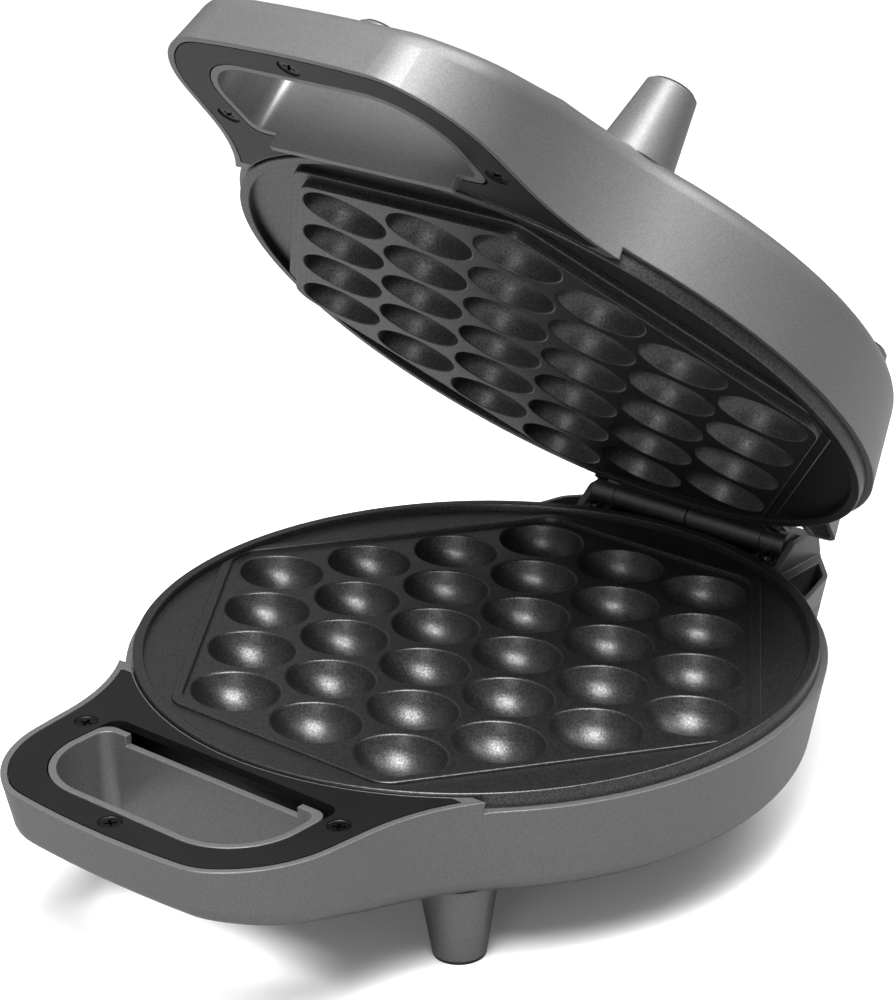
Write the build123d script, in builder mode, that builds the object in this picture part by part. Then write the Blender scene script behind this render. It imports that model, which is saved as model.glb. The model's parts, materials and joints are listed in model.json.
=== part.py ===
"""Bubble waffle maker: two clamshell halves, each with a cup plate, joined by a hinge at the back.

Millimetres, +Z up. The origin is on the floor under the middle of the whole. The handle points to -Y and
the hinge runs along X at the back. The lid is modelled open, as it stands in use.

Each half is drawn in its own frame, which starts at the parting plane between the plates:
x across, y towards the handle and z out of the half, so down in the base and up in the lid.
"""
import os
from build123d import *

os.makedirs("parts", exist_ok=True)

# The whole appliance
PLATE_CENTRE_Y = 13.68  # centre of the cup plates, behind the middle of the whole
HALF_DEPTH = 54.2       # parting plane to the tips of the feet
LID_OPEN = 46.0         # angle of the lid, as modelled
HINGE_BACK = 100.0      # hinge axis behind the plate centre
HINGE_RISE = 0.3        # hinge axis above the parting plane

# Shell
SHELL_R = 98.2          # round body at the level of the handle rim
WALL = 2.2
WALL_DRAFT = 11.5       # degrees that the side wall leans in
HANDLE_RIM = 1.8        # rim round the handle, out from the parting plane
BODY_RIM = 5.3          # rim round the plate, a step lower
RIM_STEP_Y = 73.5       # where the two rims meet
HANDLE_FRONT = 146.8
DOME_DEPTH = 38.5
DOME_R = 650.0
WEDGE_FRONT = 16.3      # depth of the handle at its front
WEDGE_SLOPE = 0.27      # rise of the handle's underside, per mm towards the body
EDGE_R = 7.0            # rounded edge between side wall and dome
REAR_EDGE_R = 5.0
HANDLE_HOLLOW_R = 4.0

# Outline of the handle: each arc has its radius and the degrees that it turns
FRONT_ARC = (267.0, 6.15)
CORNER_ARC = (19.6, 28.75)
SIDE_ARC = (37.0, 49.1)
NECK_RUN = 12.6
WAIST_ARC = (59.2, -37.8)

# Finger opening and trim plate of the handle
OPENING_HALF_X = 38.1
OPENING_FRONT = 133.0
OPENING_FRONT_R = 18.7
OPENING_BACK_R = 4.0
BASE_OPENING_BACK = 104.6
LID_OPENING_BACK = 101.2
LIP = 2.0               # shell wall round the opening
TRIM_INSET = 2.2
TRIM_T = 2.5
TRIM_GAP = 0.4
TRIM_REAR_R = 96.3
TRIM_REAR_Y = 77.0
TRIM_OPENING_BACK = 98.6
TONGUE_RISE = 4.1       # the lid's back lip stands up and enters the slot of the base
TONGUE_HALF_X = 31.0
BASE_LIP_DROP = 3.0
TRIM_SCREWS = ((-45.6, 105.0), (0.0, 139.3), (45.6, 105.0))
TRIM_HEAD_R = 3.3
TRIM_SINK = 2.2         # top of the screw heads, below the parting plane
SCREW_CORE_R = 1.4      # holes that the self-tapping screws bite into
TRIM_POST_R = 4.0

# Rear of the shells
LOBE_ROOT = (58.0, 72.0)
LOBE_HALF_X = 50.3
LOBE_SHOULDER = 100.0
LOBE_REAR = 112.8
LOBE_CORNER_R = 7.5
EAR_REAR = 101.0
EAR_INNER_X = 39.6
REAR_DEPTH = 27.0
POCKET_FLOOR = 8.0      # floor under the hinge
REAR_FLOOR = 14.0       # floor of the shallow recesses beside the hinge
CHEEK_X = 38.2          # outer face of the cheeks that flank the hinge
CHEEK_T = 2.2
BLOCK_TOP = 2.1         # top of the hinge block above the parting plane
BLOCK_TOP_REAR = 109.5
BLOCK_EDGE = (111.2, 0.0)
BLOCK_FOOT = 9.0        # where the block's rear wall turns upright

# Feet
FOOT_X = 49.7
FOOT_Y = 66.0
FOOT_TIP_R = 7.2
FOOT_ROOT_R = 10.8
FOOT_ROOT = 31.0
PAD_R = 5.5
PAD_SHOWS = 1.0
HEAD_BORE_R = 4.3
HEAD_SEAT = 37.0
SHANK_BORE_R = 1.9
PAD_ROOT = 1.2

# Cup plates
PLATE_R = 95.3
PLATE_SKIRT = 5.2       # depth of the wide flange
PLATE_BODY_R = 91.5
PLATE_BACK = 15.5
RIM_LAND = 3.0
LOWER_RIM = 1.1         # rim face below the parting plane
UPPER_RIM = 1.15
LAND = 2.3              # raised border of the hexagon
POCKET = 3.3            # shallow pockets between hexagon and rim
LOWER_CUPS = 3.5        # plane of the lower cup mouths
UPPER_CUPS = -1.1       # the upper cups stand on a plateau that dips into the lower recess
HEX_TIP_X = 93.9
HEX_SIDE_X = 37.0
HEX_Y = 78.6
HEX_CORNER_R = 8.0
LAND_WIDTH = 3.0
PITCH_X = 30.0
PITCH_Y = 21.62
ROWS = (3, 4, 5, 6, 5, 4, 3)
CUP_HALF_X = 13.6
CUP_HALF_Y = 11.1
CUP_DEPTH = 9.5

# Heating element, shield and fixings
ELEMENT_R = 62.0
ELEMENT_TUBE_R = 3.3
ELEMENT_SINK = 1.0      # depth of the groove in the plate
ELEMENT_GAP = 20.0      # degrees left open at the back
TERMINAL_LENGTH = 10.0
SHIELD_R = 88.0
SHIELD_T = 0.8
SHIELD_RIM = 6.0
SHIELD_FLOOR = 23.5
POST_R = 4.5
TERMINAL_R = 2.2

# Hinge
BARREL_R = 4.0
LEAF_T = 1.5
PIN_R = 1.5
PIN_HALF = 35.8
RUN_GAP = 0.05          # radial clearance of the lid's barrels on the pin
MID_GAP = 0.3
LID_BARREL_END = 27.1
BASE_KNUCKLE_START = 27.4
BASE_KNUCKLE_END = 35.5
LEAF_FRONT = 90.4
PLATE_CLEAR_R = 95.9
BASE_SCREW = (32.0, -93.4)
LID_SCREW = (32.0, -93.2)

# Cord inlet
CORD_R = 3.3
BUSHING_R = 5.5
BUSHING_NECK_R = 4.3
CORD_DEPTH = 19.0       # below the parting plane
BLOCK_SEAT = 34.4       # terminal block, on a pad of the shell's floor
BLOCK_Y = -30.0
THERMOSTAT_Y = 22.0

# Cutting blocks: wider and deeper than the whole
WIDE = 300.0
DEEP = 60.0

FEET = [(x, y) for x in (-FOOT_X, FOOT_X) for y in (-FOOT_Y, FOOT_Y)]
LEAF_SPOT_X = (BASE_KNUCKLE_START + CHEEK_X - CHEEK_T) / 2
LEAF_SPOT_WIDTH = CHEEK_X - CHEEK_T - BASE_KNUCKLE_START

# Frames of the two halves
hinge_point = Vector(0, PLATE_CENTRE_Y + HINGE_BACK, HALF_DEPTH + HINGE_RISE)
BASE = Plane(origin=(0, PLATE_CENTRE_Y, HALF_DEPTH), x_dir=(1, 0, 0), z_dir=(0, 0, -1))
lid_origin = hinge_point + Vector(0, -HINGE_BACK, -HINGE_RISE).rotate(Axis.X, -LID_OPEN)
LID = Plane(origin=lid_origin, x_dir=(-1, 0, 0), z_dir=Vector(0, 0, 1).rotate(Axis.X, -LID_OPEN))


def finish(piece, name, half):
    """Place a finished piece with its half, label it and write its STEP file."""
    placed = half.location * piece.part
    placed.label = name
    export_step(placed, f"parts/{name}.step")


def body_outline(inset=0.0):
    """Round body with the handle growing out of it in one line, at the level of the handle rim."""
    with BuildSketch() as outline:
        with BuildLine():
            front = JernArc((0, HANDLE_FRONT), tangent=(-1, 0), radius=FRONT_ARC[0], arc_size=FRONT_ARC[1])
            corner = JernArc(front @ 1, tangent=front % 1, radius=CORNER_ARC[0], arc_size=CORNER_ARC[1])
            side = JernArc(corner @ 1, tangent=corner % 1, radius=SIDE_ARC[0], arc_size=SIDE_ARC[1])
            neck = Line(side @ 1, side @ 1 + (side % 1) * NECK_RUN)
            waist = JernArc(neck @ 1, tangent=neck % 1, radius=WAIST_ARC[0], arc_size=WAIST_ARC[1])
            ThreePointArc(waist @ 1, (-SHELL_R, 0), (0, -SHELL_R))
            mirror(about=Plane.YZ)
        make_face()
        if inset:
            offset(amount=-inset)
    return outline.sketch


def base_lobe():
    """The base runs out behind the hinge, the full width of the hinge block and its ears."""
    with BuildSketch() as lobe:
        with BuildLine():
            Polyline(
                (0, -60),
                (-LOBE_ROOT[0], -LOBE_ROOT[1]),
                (-LOBE_HALF_X, -LOBE_SHOULDER),
                (-CHEEK_X, -LOBE_REAR),
                (0, -LOBE_REAR - 1),
            )
            mirror(about=Plane.YZ)
        make_face()
        corners = lobe.vertices().filter_by(lambda v: -LOBE_REAR - 0.5 < v.Y < -LOBE_SHOULDER + 1)
        fillet(corners, radius=LOBE_CORNER_R)
    return lobe.sketch


def lid_lobe():
    """The lid ends just behind the hinge axis. Only its two ears beside the hinge block are kept."""
    with BuildSketch() as lobe:
        with BuildLine():
            Polyline((0, -60), (-LOBE_ROOT[0], -LOBE_ROOT[1]), (-LOBE_HALF_X, -EAR_REAR), (0, -EAR_REAR))
            mirror(about=Plane.YZ)
        make_face()
        fillet(lobe.vertices().filter_by(lambda v: v.Y < -EAR_REAR + 1 and abs(v.X) > 1), radius=LOBE_CORNER_R)
    return lobe.sketch


def is_low(edge):
    """True for an edge between the side wall and the underside of a half, not for one down the wall."""
    return min(corner.Z for corner in edge.vertices()) > HANDLE_RIM + 1


def half_block(outline, thin=0.0, edge_r=EDGE_R):
    """Solid half inside the drafted outline, a dome under the body and a slope under the handle."""
    dome = DOME_DEPTH - thin
    slope = WEDGE_FRONT - thin
    reach = 160.0
    top = 50.0
    with BuildPart() as block:
        with BuildSketch(Plane.XY.offset(HANDLE_RIM)):
            add(outline)
        extrude(amount=DOME_DEPTH + 4, taper=WALL_DRAFT)
        with Locations((0, 0, dome - DOME_R)):
            Sphere(DOME_R, rotation=(0, 90, 0), mode=Mode.INTERSECT)
        with BuildSketch(Plane.YZ):
            with BuildLine():
                Polyline(
                    (-reach, 0),
                    (reach, 0),
                    (reach, slope - (reach - HANDLE_FRONT) * WEDGE_SLOPE),
                    (HANDLE_FRONT - (top - slope) / WEDGE_SLOPE, top),
                    (-reach, top),
                    close=True,
                )
            make_face()
        extrude(amount=reach, both=True, mode=Mode.INTERSECT)
        fillet(block.edges().filter_by(is_low), radius=edge_r)
    return block.part


def rear_block(outline, notch=0.0, thin=0.0, edge_r=REAR_EDGE_R):
    """Drafted block behind the round body, with a flat underside and a notch for the hinge."""
    depth = REAR_DEPTH - thin
    with BuildPart() as block:
        with BuildSketch(Plane.XY.offset(HANDLE_RIM)):
            add(outline)
            if thin:
                offset(amount=-thin)
        extrude(amount=depth - HANDLE_RIM, taper=WALL_DRAFT)
        if edge_r:
            fillet(block.edges().group_by(Axis.Z)[-1], radius=edge_r)
        if notch:
            with BuildSketch(Plane.XY):
                Rectangle(2 * notch, WIDE)
            extrude(amount=DEEP, mode=Mode.SUBTRACT)
    return block.part


def opening_outline(back, grow=0.0):
    """Rounded finger opening, drawn at z 0 and reaching back to y = back."""
    front = OPENING_FRONT + grow
    with BuildSketch() as opening:
        with Locations((0, (front + back) / 2)):
            Rectangle(2 * (OPENING_HALF_X + grow), front - back)
        fillet(opening.vertices().group_by(Axis.Y)[-1], radius=OPENING_FRONT_R + grow)
        fillet(opening.vertices().group_by(Axis.Y)[0], radius=OPENING_BACK_R)
    return opening.sketch


def handle_area(inset):
    """Part of the body outline that the handle trim covers."""
    body = body_outline(inset=inset)
    with BuildSketch() as area:
        add(body)
        with Locations((0, TRIM_REAR_Y)):
            Rectangle(WIDE, WIDE, align=(Align.CENTER, Align.MAX), mode=Mode.SUBTRACT)
        Circle(TRIM_REAR_R, mode=Mode.SUBTRACT)
    return area.sketch


def shell_half(rear, notch, opening_back, lip_back):
    """Moulded shell of one half: bowl, handle with its finger opening, rear and hollow feet."""
    outer = half_block(body_outline())
    outer_rear = rear_block(rear, notch=notch)
    handle_space = half_block(body_outline(inset=WALL + TRIM_INSET), thin=WALL, edge_r=HANDLE_HOLLOW_R)
    rear_space = rear_block(rear, notch=notch and notch + WALL, thin=WALL, edge_r=0)
    opening = opening_outline(opening_back)
    opening_wall = opening_outline(opening_back - LIP, grow=LIP)
    lip = opening_outline(lip_back, grow=LIP)
    trim_seat = handle_area(TRIM_INSET - TRIM_GAP)
    with BuildPart() as handle_hollow:
        add(handle_space)
        with BuildSketch(Plane.XY.offset(HANDLE_RIM)):
            Circle(SHELL_R)
        extrude(amount=DOME_DEPTH + 4, taper=WALL_DRAFT, mode=Mode.SUBTRACT)
        with BuildSketch(Plane.XY):
            Rectangle(WIDE, WIDE, align=(Align.CENTER, Align.MAX))
            add(opening_wall)
            with Locations(*TRIM_SCREWS):
                Circle(TRIM_POST_R)
        extrude(amount=DEEP, mode=Mode.SUBTRACT)
    with BuildPart() as bowl_hollow:
        with BuildSketch(Plane.XY.offset(HANDLE_RIM)):
            Circle(SHELL_R - WALL)
        extrude(amount=DOME_DEPTH + 4, taper=WALL_DRAFT)
        with Locations((0, 0, DOME_DEPTH - WALL - DOME_R)):
            Sphere(DOME_R, rotation=(0, 90, 0), mode=Mode.INTERSECT)
        fillet(bowl_hollow.edges().filter_by(is_low), radius=EDGE_R - WALL)
    with BuildPart() as rear_hollow:
        add(rear_space)
        with BuildSketch(Plane.XY):
            Rectangle(WIDE, WIDE)
        extrude(amount=REAR_FLOOR + WALL, mode=Mode.SUBTRACT)
        with BuildSketch(Plane.XY):
            Rectangle(WIDE, WIDE, align=(Align.CENTER, Align.MIN))
        extrude(amount=DEEP, mode=Mode.SUBTRACT)
    with BuildPart() as shell:
        add(outer)
        add(outer_rear)
        add(handle_hollow.part, mode=Mode.SUBTRACT)
        add(bowl_hollow.part, mode=Mode.SUBTRACT)
        add(rear_hollow.part, mode=Mode.SUBTRACT)
        # Seat of the trim plate, with the lip of the opening left standing
        with BuildSketch(Plane.XY):
            add(trim_seat)
            add(lip, mode=Mode.SUBTRACT)
        extrude(amount=HANDLE_RIM + TRIM_T, mode=Mode.SUBTRACT)
        # Lower rim round the plate
        with BuildSketch(Plane.XY):
            with Locations((0, RIM_STEP_Y)):
                Rectangle(WIDE, WIDE, align=(Align.CENTER, Align.MAX))
        extrude(amount=BODY_RIM, mode=Mode.SUBTRACT)
        # Shallow recess of each ear
        with BuildSketch(Plane.XY):
            add(rear)
            offset(amount=-WALL)
            Circle(SHELL_R - 0.6, mode=Mode.SUBTRACT)
            Rectangle(2 * (EAR_INNER_X + WALL), WIDE, mode=Mode.SUBTRACT)
            Rectangle(WIDE, WIDE, align=(Align.CENTER, Align.MIN), mode=Mode.SUBTRACT)
        extrude(amount=REAR_FLOOR, mode=Mode.SUBTRACT)
        # Hollow feet, with a seat for the head of each fixing screw and a boss inside
        for x, y in FEET:
            with BuildSketch(Plane.XY.offset(FOOT_ROOT)):
                with Locations((x, y)):
                    Circle(FOOT_ROOT_R)
            with BuildSketch(Plane.XY.offset(HALF_DEPTH - PAD_SHOWS)):
                with Locations((x, y)):
                    Circle(FOOT_TIP_R)
            loft()
            with BuildSketch(Plane.XY.offset(SHIELD_FLOOR + SHIELD_T)):
                with Locations((x, y)):
                    Circle(POST_R)
            extrude(amount=DOME_DEPTH - SHIELD_FLOOR - SHIELD_T)
        with BuildSketch(Plane.XY.offset(HEAD_SEAT)):
            with Locations(*FEET):
                Circle(HEAD_BORE_R)
        extrude(amount=HALF_DEPTH, mode=Mode.SUBTRACT)
        with BuildSketch(Plane.XY.offset(HALF_DEPTH - PAD_SHOWS - PAD_ROOT)):
            with Locations(*FEET):
                Circle(PAD_R + 0.1)
        extrude(amount=3, mode=Mode.SUBTRACT)
        with BuildSketch(Plane.XY.offset(SHIELD_FLOOR)):
            with Locations(*FEET):
                Circle(SHANK_BORE_R)
        extrude(amount=HEAD_SEAT, mode=Mode.SUBTRACT)
        # Finger opening and holes for the trim screws
        with BuildSketch(Plane.XY):
            with Locations(*TRIM_SCREWS):
                Circle(SCREW_CORE_R)
        extrude(amount=14, mode=Mode.SUBTRACT)
        with BuildSketch(Plane.XY):
            add(opening)
        extrude(amount=DEEP, both=True, mode=Mode.SUBTRACT)
    return shell


def plate_half(rim, cups):
    """Cast cup plate: wide rim, hexagon field of oval cups, and four posts on its back."""
    recess = hexagon()
    plateau = hexagon(shrink=1.3)
    border = hexagon(shrink=-LAND_WIDTH)
    cup = cup_solid()
    with BuildPart() as plate:
        with BuildSketch(Plane.XY.offset(rim)):
            Circle(PLATE_R)
        extrude(amount=PLATE_SKIRT - rim)
        with BuildSketch(Plane.XY.offset(PLATE_SKIRT)):
            Circle(PLATE_BODY_R)
        extrude(amount=PLATE_BACK - PLATE_SKIRT)
        with BuildSketch(Plane.XY.offset(PLATE_BACK)):
            with Locations(*FEET):
                Circle(POST_R)
        extrude(amount=SHIELD_FLOOR - PLATE_BACK)
        with BuildSketch(Plane.XY.offset(SHIELD_FLOOR)):
            with Locations(*FEET):
                Circle(1.5)
        extrude(amount=-10, mode=Mode.SUBTRACT)
        with BuildSketch(Plane.YZ):
            with Locations((-ELEMENT_R, PLATE_BACK + ELEMENT_TUBE_R - ELEMENT_SINK)):
                Circle(ELEMENT_TUBE_R)
        revolve(axis=Axis.Z, mode=Mode.SUBTRACT)
        if cups > rim:
            with BuildSketch(Plane.XY.offset(rim)):
                Circle(PLATE_R - RIM_LAND)
            extrude(amount=LAND - rim, mode=Mode.SUBTRACT)
            with BuildSketch(Plane.XY.offset(rim)):
                add(recess)
            extrude(amount=cups - rim, mode=Mode.SUBTRACT)
        else:
            with BuildSketch(Plane.XY.offset(cups)):
                add(plateau)
            extrude(amount=rim - cups)
        with BuildSketch(Plane.XY.offset(rim)):
            Circle(PLATE_R - RIM_LAND)
            add(border, mode=Mode.SUBTRACT)
        extrude(amount=POCKET - rim, mode=Mode.SUBTRACT)
        for row, count in enumerate(ROWS):
            with Locations((0, (3 - row) * PITCH_Y, cups)):
                with GridLocations(PITCH_X, PITCH_Y, count, 1):
                    add(cup, mode=Mode.SUBTRACT)
    return plate


def hexagon(shrink=0.0):
    """Hexagon field round the cups, long tips at the sides."""
    with BuildSketch() as field:
        with BuildLine():
            Polyline(
                (HEX_TIP_X, 0), (HEX_SIDE_X, HEX_Y), (-HEX_SIDE_X, HEX_Y),
                (-HEX_TIP_X, 0), (-HEX_SIDE_X, -HEX_Y), (HEX_SIDE_X, -HEX_Y),
                close=True,
            )
        make_face()
        if shrink:
            offset(amount=-shrink, kind=Kind.INTERSECTION)
        fillet(field.vertices(), radius=HEX_CORNER_R)
        Circle(PLATE_R - RIM_LAND - 0.8, mode=Mode.INTERSECT)
    return field.sketch


def cup_solid():
    """Oval bowl: an arc turned about the long axis of the oval, cut by the plane of its mouth."""
    rise = (CUP_HALF_Y ** 2 - CUP_DEPTH ** 2) / (2 * CUP_DEPTH)
    belly = CUP_DEPTH + rise
    arc_r = (CUP_HALF_X ** 2 + CUP_DEPTH ** 2) / (2 * CUP_DEPTH)
    tip = (arc_r ** 2 - (arc_r - belly) ** 2) ** 0.5
    with BuildPart() as cup:
        with BuildSketch(Plane.XZ):
            with BuildLine():
                ThreePointArc((-tip, -rise), (0, belly - rise), (tip, -rise))
                Line((tip, -rise), (-tip, -rise))
            make_face()
        revolve(axis=Axis((0, 0, -rise), (1, 0, 0)))
    return cup.part


def handle_trim():
    """Flat black plate round the finger opening, held by three countersunk screws."""
    area = handle_area(TRIM_INSET)
    opening = opening_outline(TRIM_OPENING_BACK, grow=LIP + TRIM_GAP)
    with BuildPart() as trim:
        with BuildSketch(Plane.XY.offset(HANDLE_RIM)):
            add(area)
            add(opening, mode=Mode.SUBTRACT)
        extrude(amount=TRIM_T - 0.05)
        for x, y in TRIM_SCREWS:
            with BuildSketch(Plane.YZ.offset(x)):
                with BuildLine():
                    Polyline(
                        (y, 0),
                        (y + TRIM_HEAD_R, 0),
                        (y + TRIM_HEAD_R, TRIM_SINK - 0.1),
                        (y + 1.7, TRIM_SINK + 1.5),
                        (y + 1.7, 6),
                        (y, 6),
                        close=True,
                    )
                make_face()
            revolve(axis=Axis((x, y, 0), (0, 0, 1)), mode=Mode.SUBTRACT)
    return trim


def trim_screws():
    """Three countersunk cross-head screws."""
    with BuildPart() as screws:
        for x, y in TRIM_SCREWS:
            with BuildSketch(Plane.YZ.offset(x)):
                with BuildLine():
                    Polyline(
                        (y, TRIM_SINK),
                        (y + TRIM_HEAD_R - 0.2, TRIM_SINK),
                        (y + 1.35, TRIM_SINK + 1.75),
                        (y + 1.35, 13),
                        (y, 13.6),
                        close=True,
                    )
                make_face()
            revolve(axis=Axis((x, y, 0), (0, 0, 1)))
            with BuildSketch(Plane.XY.offset(TRIM_SINK)):
                with Locations((x, y)):
                    Rectangle(3.4, 0.8)
                    Rectangle(0.8, 3.4)
            extrude(amount=1.1, mode=Mode.SUBTRACT)
    return screws


def foot_pads():
    """Four rubber pads, each plugged into the end of a foot."""
    with BuildPart() as pads:
        with BuildSketch(Plane.XY.offset(HALF_DEPTH - PAD_SHOWS - PAD_ROOT)):
            with Locations(*FEET):
                Circle(PAD_R)
        extrude(amount=PAD_SHOWS + PAD_ROOT)
        fillet(pads.edges().group_by(Axis.Z)[-1], radius=0.5)
        with BuildSketch(Plane.XY.offset(HALF_DEPTH - PAD_SHOWS - PAD_ROOT)):
            with Locations(*FEET):
                Circle(HEAD_BORE_R - 0.1)
        extrude(amount=-4)
    return pads


def plate_screws():
    """Four long screws from inside the feet, through the boss and the heat shield into the plate."""
    with BuildPart() as screws:
        with BuildSketch(Plane.XY.offset(HEAD_SEAT)):
            with Locations(*FEET):
                Circle(3.8)
        extrude(amount=2.6)
        with BuildSketch(Plane.XY.offset(HEAD_SEAT)):
            with Locations(*FEET):
                Circle(1.45)
        extrude(amount=-HEAD_SEAT + PLATE_BACK + 1)
        with BuildSketch(Plane.XY.offset(HEAD_SEAT + 2.6)):
            with Locations(*FEET):
                Rectangle(4.4, 1.0)
                Rectangle(1.0, 4.4)
        extrude(amount=-1.4, mode=Mode.SUBTRACT)
    return screws


def heat_shield():
    """Pressed steel dish behind the plate, with holes for screws and element terminals."""
    with BuildPart() as shield:
        with BuildSketch(Plane.XY.offset(SHIELD_FLOOR)):
            Circle(SHIELD_R)
            with Locations(*FEET):
                Circle(SHANK_BORE_R, mode=Mode.SUBTRACT)
            with Locations(*terminal_spots()):
                Circle(4, mode=Mode.SUBTRACT)
        extrude(amount=SHIELD_T)
        with BuildSketch(Plane.XY.offset(SHIELD_FLOOR)):
            Circle(SHIELD_R)
            Circle(SHIELD_R - SHIELD_T, mode=Mode.SUBTRACT)
        extrude(amount=-SHIELD_RIM)
    return shield


def terminal_spots():
    """Two ends of the element ring, either side of its gap at the back."""
    half_gap = ELEMENT_GAP / 2
    return [tuple(Vector(0, -ELEMENT_R).rotate(Axis.Z, turn))[:2] for turn in (-half_gap, half_gap)]


def heating_element():
    """Tubular element, an open ring in a groove of the plate, with two terminals at the back."""
    level = PLATE_BACK + ELEMENT_TUBE_R - ELEMENT_SINK
    with BuildPart() as ring:
        with BuildSketch(Plane.YZ):
            with Locations((-ELEMENT_R, level)):
                Circle(ELEMENT_TUBE_R)
        revolve(axis=Axis.Z, revolution_arc=360 - ELEMENT_GAP)
    with BuildPart() as element:
        add(ring.part, rotation=(0, 0, ELEMENT_GAP / 2))
        with BuildSketch(Plane.XY.offset(level)):
            with Locations(*terminal_spots()):
                Circle(TERMINAL_R)
        extrude(amount=TERMINAL_LENGTH)
    return element


def base_hinge(side):
    """Steel knuckle of the base with its leaf, screwed down in front of the hinge block."""
    start = BASE_KNUCKLE_START if side > 0 else -BASE_KNUCKLE_END
    width = BASE_KNUCKLE_END - BASE_KNUCKLE_START
    with BuildPart() as hinge:
        with BuildSketch(Plane.YZ.offset(start)):
            with Locations((-HINGE_BACK, -HINGE_RISE)):
                Circle(BARREL_R)
        extrude(amount=width)
        with BuildSketch(Plane.XY.offset(BARREL_R - HINGE_RISE)):
            with Locations((start + width / 2, -HINGE_BACK)):
                Rectangle(width, HINGE_BACK - LEAF_FRONT, align=(Align.CENTER, Align.MIN))
            Circle(PLATE_CLEAR_R, mode=Mode.SUBTRACT)
        extrude(amount=-LEAF_T)
        with BuildSketch(Plane.YZ.offset(start)):
            with Locations((-HINGE_BACK, -HINGE_RISE)):
                Circle(PIN_R)
        extrude(amount=width, mode=Mode.SUBTRACT)
        with BuildSketch(Plane.XY):
            with Locations((side * BASE_SCREW[0], BASE_SCREW[1])):
                Circle(1.6)
        extrude(amount=10, mode=Mode.SUBTRACT)
    return hinge


def lid_hinge(side):
    """Steel barrel of the lid, rolled from a leaf whose outer end is screwed under the lid."""
    start = MID_GAP if side > 0 else -LID_BARREL_END
    length = LID_BARREL_END - MID_GAP
    tab_start = 20.0
    tab = BASE_KNUCKLE_END - tab_start
    with BuildPart() as hinge:
        with BuildSketch(Plane.YZ.offset(start)):
            with Locations((-HINGE_BACK, HINGE_RISE)):
                Circle(BARREL_R)
        extrude(amount=length)
        with BuildSketch(Plane.XY.offset(BARREL_R + HINGE_RISE)):
            with Locations((start + length / 2, -HINGE_BACK)):
                Rectangle(length, 5, align=(Align.CENTER, Align.MIN))
            with Locations((side * (tab_start + tab / 2), -LEAF_FRONT)):
                Rectangle(tab, 5.3, align=(Align.CENTER, Align.MAX))
            Circle(PLATE_CLEAR_R, mode=Mode.SUBTRACT)
        extrude(amount=-LEAF_T)
        with BuildSketch(Plane.YZ.offset(start)):
            with Locations((-HINGE_BACK, HINGE_RISE)):
                Circle(PIN_R + RUN_GAP)
        extrude(amount=length, mode=Mode.SUBTRACT)
        with BuildSketch(Plane.XY):
            with Locations((side * LID_SCREW[0], LID_SCREW[1])):
                Circle(1.6)
        extrude(amount=10, mode=Mode.SUBTRACT)
    return hinge


def hinge_screws(spot, leaf_face):
    """Two pan-head screws that hold the hinge leaves to the shell."""
    x, y = spot
    with BuildPart() as screws:
        with BuildSketch(Plane.XY.offset(leaf_face)):
            with Locations((-x, y), (x, y)):
                Circle(2.5)
        extrude(amount=-1.3, taper=12)
        with BuildSketch(Plane.XY.offset(leaf_face)):
            with Locations((-x, y), (x, y)):
                Circle(1.35)
        extrude(amount=9)
        with BuildSketch(Plane.XY.offset(leaf_face - 1.3)):
            with Locations((-x, y), (x, y)):
                Rectangle(2.8, 0.7)
                Rectangle(0.7, 2.8)
        extrude(amount=0.8, mode=Mode.SUBTRACT)
    return screws


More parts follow.
